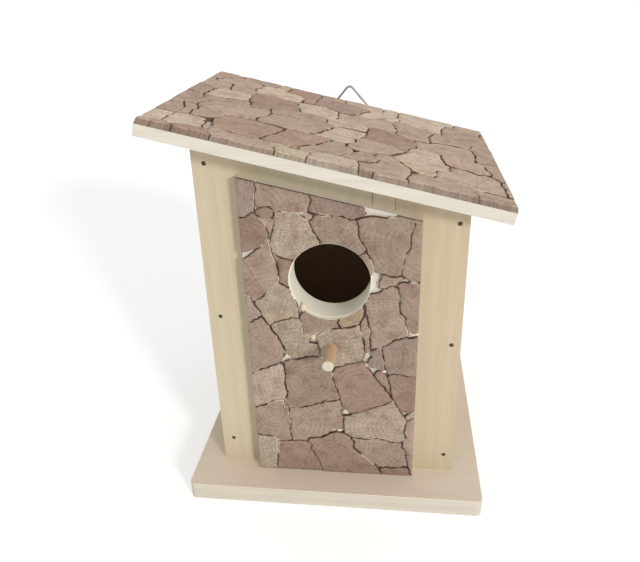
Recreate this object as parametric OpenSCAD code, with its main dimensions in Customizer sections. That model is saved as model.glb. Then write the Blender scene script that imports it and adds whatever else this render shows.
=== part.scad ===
// Nest box: a small wooden box with a single-pitch roof that falls to the right, an entrance
// hole and a perch in a raised front panel, and a bent wire behind the roof to hang it by.
// The roof and the front panel are faced with thin slices of wood, laid like crazy paving.
// Origin at the centre of the base's underside. +Z is up, the front faces -Y, +X is right.

/* [Base] */
// Width of the base board, side to side
base_w = 160; // [150:1:240]
// Depth of the base board, front to back
base_d = 150; // [120:1:220]
// Thickness of the base board
base_t = 10; // [6:0.5:20]
// Radius of the base board's corners, seen from above
base_corner_r = 3; // [0.5:0.5:10]

/* [Body] */
// Outside width of the body
body_w = 130; // [105:1:160]
// Height of the body's left side, from the top of the base to the roof
left_h = 189; // [160:1:260]
// Distance from the base's front edge back to the face of the front board
front_setback = 23; // [14:1:40]
// Distance from the base's back edge forward to the face of the back board
back_setback = 0; // [0:1:20]
// Thickness of the front and back boards
end_board_t = 10; // [6:0.5:16]
// Thickness of the side walls
side_wall_t = 10; // [6:0.5:16]

/* [Roof] */
// Fall of the roof to the right, in degrees
pitch = 13.25; // [5:0.25:20]
// Thickness of the roof board
roof_t = 5.5; // [4:0.5:12]
// Thickness of the layer of slices on the roof
roof_slice_t = 2.7; // [1.5:0.1:5]
// Overhang past the body's high left side, along the slope
roof_over_left = 18.5; // [5:0.5:40]
// Overhang past the body's low right side, along the slope
roof_over_right = 16; // [5:0.5:40]
// Overhang in front of the front board
roof_over_front = 20; // [10:0.5:40]

/* [Front panel] */
// Width of the raised panel
panel_w = 86; // [60:1:100]
// Height from the top of the panel straight up to the roof
panel_gap = 12.8; // [4:0.2:40]
// Thickness of the panel's backing board
backing_t = 5; // [3:0.5:10]
// Thickness of the layer of slices on the panel
panel_slice_t = 2.7; // [1.5:0.1:5]

/* [Entrance and perch] */
// Diameter of the entrance hole
entrance_d = 40; // [25:1:56]
// Height of the entrance hole's centre above the base
entrance_z = 119; // [90:1:130]
// Sideways place of the entrance and the perch, from the middle of the body
entrance_x = -0.5; // [-10:0.5:10]
// Diameter of the perch
perch_d = 6; // [4:0.5:10]
// Distance from the entrance hole's centre down to the perch's centre
perch_drop = 37; // [32:1:60]
// How far the perch stands out of the panel
perch_out = 16.5; // [8:0.5:50]
// How deep the perch sits in the front board
perch_seat = 7; // [3:0.5:9]

/* [Nails] */
// Diameter of a nail's head
nail_head_d = 2.2; // [1.8:0.1:4]
// Thickness of a nail's head
nail_head_t = 0.8; // [0.5:0.1:2]
// Diameter of a nail's shank
nail_shank_d = 1.4; // [1:0.1:1.8]
// Length of a nail, with its head
nail_l = 25; // [18:1:40]
// How far the heads are driven below the wood
nail_sink = 0.5; // [0.2:0.1:1.5]
// Distance of the left nails from the body's left edge
nail_inset_left = 6; // [3:0.1:7]
// Distance of the right nails from the body's right edge
nail_inset_right = 4.8; // [3:0.1:7]
// Distance of the top nails below the roof
top_nail_drop = 11.8; // [6:0.2:30]
// Height of the left middle nail above the base
middle_nail_left = 94.5; // [60:0.5:120]
// Height of the right middle nail above the base
middle_nail_right = 82; // [60:0.5:110]
// Height of the left bottom nail above the base
bottom_nail_left = 14.7; // [6:0.1:40]
// Height of the right bottom nail above the base
bottom_nail_right = 10.7; // [6:0.1:40]
// Distance of the base's nails from the ends of the side walls
base_nail_inset = 20; // [8:1:45]

/* [Hanger] */
// Diameter of the hanger's wire
wire_d = 1.4; // [1:0.1:2.5]
// Distance between the two legs of the hanger, where they run down the back
leg_spread = 26; // [18:1:50]
// Height above the roof of the corner that the hanger's top bend rounds off
loop_rise = 10; // [6:0.5:30]
// How far the knees of the hanger lie below the top of the roof
knee_drop = 6; // [0:0.5:9]
// Sideways place of the hanger's top, from the middle of the body
loop_x = 0; // [-20:1:20]
// Length of each leg below the roof's underside
leg_below = 15; // [12:1:40]
// Radius of the bend at the top of the hanger
top_bend_r = 2.5; // [1.5:0.1:6]
// Radius of the bend where a leg turns down
knee_bend_r = 7; // [3:0.5:12]
// Diameter of the wire of the two staples
staple_wire_d = 1.1; // [0.8:0.1:1.8]
// How deep the staples go into the back board
staple_depth = 7; // [3:0.5:8]

/* [Clearances] */
// Gap all round a nail, a staple leg and the perch in their holes
seat_gap = 0.05; // [0.02:0.01:0.2]
// Gap between the hanger's wire and the wood and staples beside it
wire_gap = 0.1; // [0.05:0.05:0.3]

/* [Hidden] */
$fn = 48;
hole_fn = 128;
wire_sides = 12;
wire_bend_steps = 6;
cut = 1; // how far a cutting shape runs past the surface it cuts

slope = tan(pitch);
body_x = body_w / 2;
front_y = -base_d / 2 + front_setback;
back_y = base_d / 2 - back_setback;
inner_front_y = front_y + end_board_t;
inner_back_y = back_y - end_board_t;
roof_front_y = front_y - roof_over_front;
body_slope_l = body_w / cos(pitch);
roof_l = roof_over_left + body_slope_l + roof_over_right;
backing_y = front_y - backing_t;
panel_y = backing_y - panel_slice_t;
entrance_h = base_t + entrance_z;
perch_h = entrance_h - perch_drop;
left_nail_x = -body_x + nail_inset_left;
right_nail_x = body_x - nail_inset_right;
wire_y = back_y + wire_gap + wire_d / 2;
staple_y = back_y + 2 * wire_gap + wire_d + staple_wire_d / 2;
staple_w = wire_d + 2 * wire_gap + staple_wire_d;

// Height above the ground of the roof's underside at a place x
function under_roof(x) = base_t + left_h - (x + body_x) * slope;

// Height above the ground of the top of the roof at a place x
function over_roof(x) = under_roof(x) + (roof_t + roof_slice_t) / cos(pitch);

// Where the nails of the front and back boards stand, as [x, z]
NAIL_PLACES = [
    ["left_top", left_nail_x, under_roof(left_nail_x) - top_nail_drop],
    ["left_middle", left_nail_x, base_t + middle_nail_left],
    ["left_bottom", left_nail_x, base_t + bottom_nail_left],
    ["right_top", right_nail_x, under_roof(right_nail_x) - top_nail_drop],
    ["right_middle", right_nail_x, base_t + middle_nail_right],
    ["right_bottom", right_nail_x, base_t + bottom_nail_right],
];

// Where the nails of the base stand, as [x, y]
BASE_NAIL_PLACES = [
    ["left_front", left_nail_x, inner_front_y + base_nail_inset],
    ["left_back", left_nail_x, inner_back_y - base_nail_inset],
    ["right_front", right_nail_x, inner_front_y + base_nail_inset],
    ["right_back", right_nail_x, inner_back_y - base_nail_inset],
];

leg_xs = [loop_x - leg_spread / 2, loop_x + leg_spread / 2];
staple_zs = [for (x = leg_xs) under_roof(x) - leg_below / 2];

// The hanger's bends, seen from the front, as [x, z]
leg_ends = [for (x = leg_xs) [x, under_roof(x) - leg_below]];
knee_z = over_roof(loop_x) - knee_drop;
hanger_top = [loop_x, over_roof(loop_x) + loop_rise - wire_d / 2];
hanger_path = [leg_ends[0], [leg_xs[0], knee_z], hanger_top, [leg_xs[1], knee_z], leg_ends[1]];
hanger_bends = [knee_bend_r, top_bend_r, knee_bend_r];

// A board standing across the body, from x0 to x1, whose top runs parallel to the roof
module sloped_board(x0, x1, y0, y1, drop) {
    translate([0, y1, 0])
        rotate([90, 0, 0])
            linear_extrude(y1 - y0)
                polygon([
                    [x0, base_t],
                    [x1, base_t],
                    [x1, under_roof(x1) - drop],
                    [x0, under_roof(x0) - drop],
                ]);
}

// A layer of the roof, from z0 to z1 above the underside, square to the slope
module roof_layer(z0, z1) {
    translate([-body_x, roof_front_y, base_t + left_h])
        rotate([0, pitch, 0])
            translate([-roof_over_left, 0, z0])
                cube([roof_l, back_y - roof_front_y, z1 - z0]);
}

// A round bar along +Y from y0 to y1
module bar_y(d, x, z, y0, y1) {
    translate([x, y1, z])
        rotate([90, 0, 0])
            cylinder(d = d, h = y1 - y0, $fn = $fn);
}

// The entrance hole and the perch's hole, as shapes to cut, from y0 to y1
module front_holes(y0, y1) {
    bar_y(entrance_d, entrance_x, entrance_h, y0, y1, $fn = hole_fn);
    bar_y(perch_d + 2 * seat_gap, entrance_x, perch_h, y0, min(y1, front_y + perch_seat + seat_gap));
}

// A nail driven along +Z, with the surface of the wood at z = 0. With a gap, it is the hole.
module nail(gap = 0) {
    head_z = gap > 0 ? -cut : nail_sink;
    translate([0, 0, head_z])
        cylinder(d = nail_head_d + 2 * gap, h = nail_sink + nail_head_t - head_z);
    translate([0, 0, nail_sink])
        cylinder(d = nail_shank_d + 2 * gap, h = nail_l + gap);
}

// Nails along Y through the front board (side = 1) or the back board (side = -1)
module end_nail(place, side, gap = 0) {
    translate([place[1], side > 0 ? front_y : back_y, place[2]])
        rotate([side > 0 ? -90 : 90, 0, 0])
            nail(gap);
}

module end_nail_holes(side) {
    for (place = NAIL_PLACES) end_nail(place, side, seat_gap);
}

module base_nail(place, gap = 0) {
    translate([place[1], place[2], 0]) nail(gap);
}

module base_nail_holes() {
    for (place = BASE_NAIL_PLACES) base_nail(place, seat_gap);
}

module base_board() {
    color("#d6c4a9")
        difference() {
            linear_extrude(base_t) rounded_rectangle(base_w, base_d, base_corner_r);
            base_nail_holes();
        }
}

// A rectangle about the origin with round corners, made of plain squares and circles
module rounded_rectangle(w, d, r) {
    square([w - 2 * r, d], center = true);
    square([w, d - 2 * r], center = true);
    for (x = [-1, 1], y = [-1, 1])
        translate([x * (w / 2 - r), y * (d / 2 - r)]) circle(r = r);
}

module front_board() {
    color("#d3c0a6")
        difference() {
            sloped_board(-body_x, body_x, front_y, inner_front_y, 0);
            front_holes(front_y - cut, inner_front_y + cut);
            end_nail_holes(1);
        }
}

module back_board() {
    color("#d3c0a6")
        difference() {
            sloped_board(-body_x, body_x, inner_back_y, back_y, 0);
            end_nail_holes(-1);
            for (i = [0, 1]) staple_holes(leg_xs[i], staple_zs[i]);
        }
}

module side_wall(x0) {
    color("#cfb999")
        difference() {
            sloped_board(x0, x0 + side_wall_t, inner_front_y, inner_back_y, 0);
            end_nail_holes(1);
            end_nail_holes(-1);
            base_nail_holes();
        }
}

module left_wall() {
    side_wall(-body_x);
}

module right_wall() {
    side_wall(body_x - side_wall_t);
}

module roof_board() {
    color("#dcd6c2") roof_layer(0, roof_t);
}

module roof_slices() {
    color("#a99583") roof_layer(roof_t, roof_t + roof_slice_t);
}

// One layer of the raised front panel, with its holes
module panel_layer(y0, y1) {
    difference() {
        sloped_board(-panel_w / 2, panel_w / 2, y0, y1, panel_gap);
        front_holes(y0 - cut, y1 + cut);
    }
}

module panel_backing() {
    color("#dbd5c1") panel_layer(backing_y, front_y);
}

module panel_slices() {
    color("#a08b7a") panel_layer(panel_y, backing_y);
}

module perch() {
    color("#c79a6b")
        bar_y(perch_d, entrance_x, perch_h, panel_y - perch_out, front_y + perch_seat);
}

function unit(v) = v / norm(v);

// Angle by which a path turns at its corner i
function turn(path, i) = let (u = unit(path[i] - path[i - 1]), v = unit(path[i + 1] - path[i]))
    acos(max(-1, min(1, u * v)));

function spin(v, a) = [v[0] * cos(a) - v[1] * sin(a), v[0] * sin(a) + v[1] * cos(a)];

// The points of the arc of radius r that rounds the corner i of a path
function bend_points(path, i, r) = let (
        u = unit(path[i] - path[i - 1]),
        v = unit(path[i + 1] - path[i]),
        a = turn(path, i),
        centre = path[i] + unit(v - u) * r / cos(a / 2),
        first = path[i] - u * r * tan(a / 2) - centre,
        way = u[0] * v[1] - u[1] * v[0] < 0 ? -1 : 1
    ) [for (k = [0:wire_bend_steps]) centre + spin(first, way * a * k / wire_bend_steps)];

// A path with its inner corners rounded to one radius each
function rounded_path(path, radii) = let (last = len(path) - 1) concat(
        [path[0]],
        [for (i = [1:last - 1]) each bend_points(path, i, radii[i - 1])],
        [path[last]]
    );

// A round wire in the plane y = 0 along the points [x, z] of a route
module bent_wire(route, d) {
    last = len(route) - 1;
    rings = [for (k = [0:last])
        let (along = unit(route[min(k + 1, last)] - route[max(k - 1, 0)]), side = [-along[1], along[0]])
            for (j = [0:wire_sides - 1])
                let (a = 360 * j / wire_sides, p = route[k] + side * cos(a) * d / 2)
                    [p[0], sin(a) * d / 2, p[1]]];
    skin = [for (k = [0:last - 1], j = [0:wire_sides - 1])
        let (n = (j + 1) % wire_sides)
            [k * wire_sides + j, (k + 1) * wire_sides + j, (k + 1) * wire_sides + n, k * wire_sides + n]];
    ends = [
        [for (j = [0:wire_sides - 1]) j],
        [for (j = [wire_sides - 1:-1:0]) last * wire_sides + j],
    ];
    polyhedron(points = rings, faces = concat(skin, ends), convexity = 4);
}

module hanger_wire() {
    color("#8c8c88")
        translate([0, wire_y, 0]) bent_wire(rounded_path(hanger_path, hanger_bends), wire_d);
}

// A staple over one leg of the hanger: its crown runs across the leg, its legs go into the wood
module staple(x, z) {
    color("#9a9a96") {
        for (side = [-1, 1])
            bar_y(staple_wire_d, x + side * staple_w / 2, z, back_y - staple_depth, staple_y);
        translate([x - staple_w / 2 - staple_wire_d / 2, staple_y - staple_wire_d / 2, z - staple_wire_d / 2])
            cube([staple_w + staple_wire_d, staple_wire_d, staple_wire_d]);
    }
}

module staple_holes(x, z) {
    for (side = [-1, 1])
        bar_y(staple_wire_d + 2 * seat_gap, x + side * staple_w / 2, z,
              back_y - staple_depth - seat_gap, back_y + cut);
}

module hanger_staple_left() {
    staple(leg_xs[0], staple_zs[0]);
}

module hanger_staple_right() {
    staple(leg_xs[1], staple_zs[1]);
}

module steel() {
    color("#6f6a64") children();
}

base_board();
front_board();
back_board();
left_wall();
right_wall();
roof_board();
roof_slices();
panel_backing();
panel_slices();
perch();
hanger_wire();
hanger_staple_left();
hanger_staple_right();
for (p = NAIL_PLACES) steel() end_nail(p, 1);
for (p = NAIL_PLACES) steel() end_nail(p, -1);
for (p = BASE_NAIL_PLACES) steel() base_nail(p);
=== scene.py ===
"""Nest box with a sloping roof. Front and roof are faced with thin slices of branch wood."""
import math
import random

import bpy
import numpy as np
from mathutils import Euler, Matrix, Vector, noise
from mathutils.geometry import delaunay_2d_cdt


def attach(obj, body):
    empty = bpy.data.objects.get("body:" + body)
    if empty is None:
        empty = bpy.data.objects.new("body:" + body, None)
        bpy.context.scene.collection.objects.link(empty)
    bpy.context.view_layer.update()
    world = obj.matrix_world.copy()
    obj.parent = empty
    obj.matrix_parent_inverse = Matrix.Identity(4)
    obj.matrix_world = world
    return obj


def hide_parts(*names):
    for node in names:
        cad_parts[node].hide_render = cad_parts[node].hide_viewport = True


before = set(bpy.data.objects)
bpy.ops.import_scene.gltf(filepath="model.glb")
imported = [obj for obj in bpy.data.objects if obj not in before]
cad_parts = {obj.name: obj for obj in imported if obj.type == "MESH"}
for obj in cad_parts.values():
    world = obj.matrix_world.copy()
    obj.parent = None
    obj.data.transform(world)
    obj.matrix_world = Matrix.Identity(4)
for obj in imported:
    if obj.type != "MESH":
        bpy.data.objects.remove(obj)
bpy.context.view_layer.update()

# ---------------------------------------------------------------- sizes, in mm unless a name says otherwise
MM = 0.001
SEED = 7

CAMERA_PLACE = (30.13, -332.03, 262.80)
CAMERA_TURN_DEG = (64.2103, 1.6170, 6.5846)
CAMERA_LENS = 35.509

BASE_TOP = 10.0
PANEL_BACK_Y = -57.0
PANEL_HALF_WIDTH = 43.0
PANEL_TOP_LEFT = 171.0
PANEL_TOP_FALL = 0.23547
SLICE_THICKNESS = 2.7

ROOF_PITCH = math.radians(13.25)
ROOF_EDGE_X = -83.007
ROOF_EDGE_Z = 203.24
ROOF_FRONT_Y = -72.0
ROOF_LENGTH = 168.06
ROOF_DEPTH = 147.0
ROOF_BOARD = 5.5

HOLE_X, HOLE_Z, HOLE_RADIUS = -0.5, 119.0, 20.0

INNER_FRONT_Y = -42.05

PERCH_Z = 92.0
PERCH_TIP_Y, PERCH_SEAT_Y = -76.2, -52.7
PERCH_RADIUS = 3.0

# Space inside the box, where the wood takes a darker, redder colour as painted shade
CHAMBER_HALF_WIDTH, CHAMBER_FLOOR = 55.1, 9.9
CHAMBER_MIDDLE_Y, CHAMBER_HALF_DEPTH = 11.5, 53.6
WALL_EDGE_X = -65.0
FRONT_WIDTH = 130.0

# Building of the slices: spacing of points, and how ragged, open and uneven they are
EDGE_STEP, GRID_STEP = 0.9, 0.8
GRID_JITTER, GRID_CLEAR = 0.2, 0.45
WANDER_WIDE, WANDER_WIDE_SCALE = 0.8, 5.0
WANDER_FINE, WANDER_FINE_SCALE = 0.55, 1.5
CRACK_LEAST, CRACK_MOST = 0.12, 0.26
CRACK_RAGGED, CRACK_RAGGED_SCALE = 2.4, 2.4
OUTLINE_NEAR, TOP_LINE_NEAR = 0.4, 0.5
OUTLINE_OPENING = 3.4
HOLE_CLEAR = 0.25
HOLE_WALL_NEAR = 0.4
TOP_DROP_LEAST, TOP_DROP_MOST = 0.25, 0.75
TOP_TILT = 0.008
TOP_CLEAR = 0.02
EDGE_FALL, EDGE_FALL_REACH = 0.45, 1.3
RIM_REACH, OUTLINE_RIM_SHARE = 0.9, 0.45
FRONT_SLANT, FRONT_SLANT_REACH = 3.6, 12.0

# The "rim" value of walls in a crack and on the outline, and how much painted shade darkens outline walls
WALL_RIM, OUTLINE_RIM = 0.95, 0.5
OUTLINE_WALL_SHADE = 0.60

# Light
KEY_STRENGTH = 1.8
KEY_FROM = (0.60, -0.76, 0.30)
KEY_ANGLE_DEG = 9
KEY_COLOUR = (1.0, 0.985, 0.96)
AMBIENT = 0.70
FLOOR_GLOW = 0.30
FLOOR_DROP = -0.2
FLOOR_HALF_SIZE = 30000.0

# Wood colours as they look, 0 to 255
TONES = {
    "pale": (171, 155, 138),
    "light": (174, 157, 141),
    "beige": (158, 139, 124),
    "rose": (166, 145, 131),
    "pink": (161, 139, 124),
    "olive": (168, 153, 134),
    "tan": (170, 149, 125),
    "grey": (154, 137, 124),
    "brown": (156, 135, 118),
    "mauve": (150, 129, 116),
    "red": (155, 131, 115),
    "dark": (150, 126, 111),
}

# Slices of these tones were sawn roughly, and show torn fibres
TORN_TONES = ("pale", "olive", "tan")

# Panel: corners shared by the slices, x from the box's middle and z above the base
PANEL_CORNERS = """
L0 -43 0; L1 -43 24.4; L2 -43 42.5; L3 -43 64; L4 -43 94.5; L5 -43 113; L6 -43 129.8; L7 -43 133.8
L8 -43 152.2; L9 -43 171; b1 -32.6 0; b2 -6.5 0; b3 26.5 0; b4 42.3 0; b5 43 0; r1 43 15; r2 43 40.3
r3 43 45.3; r4 43 66.7; r5 43 89.8; r6 43 92.2; r7 43 120.3; r8 43 150.7; t1 -34.3 169; t2 -11 163.5
t3 15.5 157.2; t4 39.6 151.5; a1 -33.6 22.7; a2 -31.7 18.5; a3 -32.2 10; a4 -29.5 20; a5 -23.6 20.7
a6 -15.2 21; a7 -13 18.5; a8 -12.8 15.3; a9 -9.9 9.5; c1 -24 28; c2 -23.3 34; c3 -24.5 38; c4 -24.2 42.8
c5 -26 46; c6 -26 48.3; c7 -31.5 48; c8 -35 45.4; d1 -13 23.5; d2 -7.5 24.9; d3 -3 26.3; d4 1 28.4
d5 6 28; d6 9 25.8; d7 10.7 21.5; d8 11.2 18; d9 13 15.2; d10 16.2 13; d11 21 8; d12 24 4.6; f1 0 29.8
e1 -20 43.4; e2 -13 45.3; e3 -6.5 47; e4 -4.8 48.8; e5 3.4 49.6; e6 5 46; e7 4.6 41; e8 5.3 38.8
e9 4.9 31; h1 28 4.8; h2 34 5.6; h3 40.8 5.8; h4 40 10; h5 38.8 14.6; h6 38.2 17; h7 37.2 20.5
h8 37 23.7; h9 34 22.9; h10 28 24.6; h11 22.5 25.2; h12 16 25; h13 11.3 24.6; i1 39.2 37.8; i2 38.6 33
i3 38 30.3; i4 39.1 26; i5 38.7 24.3; i6 39.8 43; i8 37.6 40.5; i9 35.3 44; i10 33.3 48.5; i11 31.6 51.6
i12 26.2 47.3; i13 20 45.2; i14 14 42.8; i15 9.6 40.6; j1 7.3 43; k1 -25 51; k2 -24.8 56; k3 -25.4 60
k4 -25 66; k5 -26 70.5; k6 -28 72; k7 -35 68.4; l1 -24.8 73.2; l2 -19.5 74.4; l3 -14 75.6; l4 -6.5 76.6
l5 -3 75; l6 0.7 70; l7 -0.2 65; l8 1 60; l9 2.2 56.5; m1 28.5 57; m2 25 61; m3 21 66.3; m4 19.5 69
m5 16.5 73.5; m6 15 75.2; m7 12 74.2; m8 8 72.7; m9 4.5 71.6; n1 30.3 56; n2 30 60; n3 29 62.5
n4 28 65.5; n5 27 67.3; n6 24.5 68.9; n7 22.3 69; n8 28.8 67.3; n9 31.5 67.9; n10 35 67; n11 38 66
o1 -25 75.5; o2 -24.2 79.5; o3 -26.4 84; o4 -28.7 88.5; o5 -31.4 93.5; o6 -33.5 96.3; o7 -35 99.3
o8 -38.5 97.5; o9 -41 95.4; p1 -22.8 76.4; p3 -6.3 80; p4 -7 84; p5 -10.8 85.2; p6 -11.2 88.8; p7 -14 90
p8 -14.8 94.3; p9 -15.9 98.8; p10 -20 98.8; p11 -24 97; p12 -28.5 95.7; q1 -36.5 103; q2 -38.6 106.7
q3 -35 110; q4 -30.5 114.2; q5 -26 118; q6 -24.3 117.8; q7 -21.5 115.7; q8 -19.9 114; q9 -17.6 108.6
q10 -16.2 103.5; s1 -24.9 119.5; s2 -25.3 125; s3 -27 130; s4 -28.3 134.8; s5 -28.6 139.5; s6 -30.5 140
s7 -33.5 137.3; s8 -36.3 135.4; u1 -19.3 130.8; u2 -22 131.3; u3 -25 132.5; v1 -29.3 143.5; v2 -30 147
v3 -30.6 150; v4 -32.8 152.3; v5 -35 154.3; v6 -37.5 153.4; v7 -40 151.8; v8 -27.6 144; v9 -26.7 148
v10 -26 152.5; v11 -29 151.2; w0 -33 157; w1 -25.5 155.6; w2 -22 155.2; w3 -17.5 154.8; w4 -14 154.6
w5 -12 152.3; w6 -9.6 150.2; w7 -7.3 146.3; w8 -4.9 141.8; w12 -28 157.6; w13 -9 151.2; x1 -35 157
x2 -34.6 162; x3 -33.8 165.5; y1 -9.8 155.3; y2 -8.8 158; y3 -8.3 160.5; y4 -9.3 162; y5 -6.6 153.7
z1 -3 153.3; z2 3 153.3; z3 8 152; z4 12.5 151.3; z5 15.8 152; z6 17.3 154; z7 17 156; g1 13.2 148.5
g2 13.4 145.3; g3 14.8 141; g4 16.3 137.8; g5 17.5 135.2; g6 14.3 133.5; g7 19 132.2; g8 20.6 130
g9 20.7 125.2; g10 19.8 122.5; B1 20 153.2; B2 27 152.9; B3 33 152.6; B4 38.6 151.4; B5 39.4 149
B6 38.5 145.5; B7 37.9 141; B8 37.1 137; B9 35.4 134.6; B10 35.3 131; B11 34.2 127; B12 34 122.6
B13 30 122.9; B14 26.5 123.8; B15 24.5 123.8; C1 39 120.3; C2 36 121.7; C3 23.5 120.8; C4 22.7 117
C5 25 115.6; C6 28 117.2; C7 30.5 117.8; C8 32.8 119.5; C9 32.7 117; C10 33.3 112; C11 33.6 107.5
C12 33.5 104.6; C13 35 102.3; C14 36.4 99.8; C15 37.4 96.5; C16 38.6 93.3; C17 37.5 90.4; D1 18.6 112.3
D2 21.5 113.8; F1 40.5 91.6; E1 33 88.2; E2 28 85; E3 25.2 83.2; E4 22 82; E5 19.8 80.8; E6 19.2 86
E7 19.2 92; E8 18 95.6; E9 18.4 99; E10 17.4 103; E11 16.7 107; G1 38.3 89.4; G2 27.6 70; G3 27.1 74
G4 26.2 78; G5 25.4 81; G6 26 69; G7 22.5 70; G8 19.6 70.5; H1 17.3 73; H2 18.6 75.8; H3 20 78
I0 16.5 77; I1 18 80; I2 16.8 79.5; I3 16.3 83; I4 15.4 88; I5 14.6 92; I6 13.9 96; I7 15.6 98.8
I8 16.4 101; I9 16.2 106; J1 11 95.2; J2 5 94.1; J3 0 93.2; J4 -5 91.2; J5 -7.4 88.2; J6 -8.5 89.2
J8 2.7 97; J9 3.5 99.5; K1 -13 103.2; K2 -15.4 101.5; X1 -17 118; X2 -17 129; X3 -4.8 137; X4 -12 133
X5 -17 130; X6 8 133; X7 0 136; X8 16 122; X9 12 131; X10 3 102; X11 -8 104; X12 14 109; X13 8 104
"""

PANEL_SLICES = """
A1 light: L0 b1 a3 a2 a1 L1
A2 dark: b1 a3 a2 a4 a5 a6 a7 a8 a9 b2
B1 beige: L1 a1 a4 a5 c1 c2 c3 c4 c5 c6 c7 c8 L2
A3 red: b2 a9 a8 a7 a6 d1 d2 d3 d4 d5 d6 d7 d8 d9 d10 d11 d12 b3
B2 pink: a5 c1 c2 c3 c4 e1 e2 e3 e4 e5 e6 e7 e8 e9 f1 d3 d2 d1 a6
A4 pink: d6 h13 h12 h11 h10 h9 h8 h7 h6 h5 h4 h3 h2 h1 d12 d11 d10 d9 d8 d7
A5 dark: b3 d12 h1 h2 h3 b4
A6 beige: b4 b5 r1 h5 h4 h3
A7 rose: r1 r2 i1 i2 i3 i4 i5 h8 h7 h6 h5
A8 light: r2 r3 i6 i8 i1
B3 pale: d6 h13 h12 h11 h10 h9 h8 i5 i4 i3 i2 i1 i8 i9 i10 i11 i12 i13 i14 i15 e8 e9 d5
C1 light: L2 c8 c7 c6 k1 k2 k3 k4 k5 k6 k7 L3
C2 brown: c4 c5 c6 k1 k2 k3 k4 k5 l1 l2 l3 l4 l5 l6 l7 l8 l9 e5 e4 e3 e2 e1
C3 red: l6 l7 l8 l9 e5 e6 j1 i15 i14 i13 i12 i11 m1 m2 m3 m4 m5 m6 m7 m8 m9
C4 brown: m3 n7 n6 n5 n4 n3 n2 n1 i11 m1 m2
C5 dark: n4 n8 n9 n10 n11 r4 r3 i6 i9 i10 i11 n1 n2 n3
D1 pink: L3 k7 k6 o1 o2 o3 o4 o5 o6 o7 o8 o9 L4
D2 olive: o5 o4 o3 o2 p1 l2 l3 l4 p3 p4 p5 p6 p7 p8 p9 p10 p11 p12
E2 olive: o5 o6 o7 q1 q2 q3 q4 q5 q6 q7 q8 q9 q10 p9 p10 p11 p12
E1 rose: L4 o9 o8 o7 q1 q2 L5
F1 pink: L5 q2 q3 q4 q5 s1 s2 s3 s4 s5 s6 s7 s8 L6
G4 dark: s4 s3 s2 s1 q5 q6 q7 X1 X2 u1 u2 u3
G2 dark: L7 s8 s7 s6 v1 v2 v3 v4 v5 v6 v7 L8
H4 brown: s6 s5 v8 v9 v10 v11 v3 v2 v1
G3 pale: s4 s5 v8 v9 v10 w1 w2 w3 w4 w5 w6 w7 w8 X3 X4 X5 u1 u2 u3
H3 red: v5 w0 w12 w1 v10 v11 v3 v4
H1 grey: L8 v7 v6 v5 x1 x2 x3 t1 L9
H2 pink: t1 x3 x2 x1 w0 w12 w1 w2 w3 w4 y1 y2 y3 y4 t2
S1 rose: w4 y1 y5 w13 w6 w5
G1 mauve: t2 y4 y3 y2 y1 y5 z1 z2 z3 z4 z5 z6 z7 t3
G5 pink: w8 w7 w6 w13 y5 z1 z2 z3 z4 g1 g2 g3 g4 g5 g6 X6 X7 X3
G6 pink: g6 g5 g7 g8 g9 g10 X8 X9
F7 beige: z4 z5 B1 B2 B3 B4 B5 B6 B7 B8 B9 B10 B11 B12 B13 B14 B15 g9 g8 g7 g5 g4 g3 g2 g1
F8 pink: B4 t4 r8 r7 C1 C2 B12 B11 B10 B9 B8 B7 B6 B5
F5 pink: C2 B12 B13 B14 B15 C3 C4 C5 C6 C7 C8
E5 pink: D1 D2 C5 C6 C7 C9 C10 C11 C12 C13 C14 C15 C16 C17 E1 E2 E3 E4 E5 E6 E7 E8 E9 E10 E11
F6 pink: C8 C1 r7 r6 F1 C16 C15 C14 C13 C12 C11 C10 C9
D6 beige: E3 E2 E1 C17 G1 r5 r4 n11 n10 n9 n8 G2 G3 G4 G5
D5 grey: E4 E3 G5 G4 G3 G2 G6 G7 G8 H1 H2 H3 E5
D4 pink: E5 I1 I2 I3 I4 I5 I6 I7 I8 I9 E11 E10 E9 E8 E7 E6
D3 pale: l6 m9 m8 m7 m6 I0 I2 I3 I4 I5 I6 J1 J2 J3 J4 J5 p4 p3 l5
E3 pink: p9 p8 p7 p6 J6 J4 J3 J2 J8 J9 X10 X11 K1 K2
E4 tan: J2 J1 I6 I7 I8 I9 X12 X13 X10 J9 J8
"""

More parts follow.
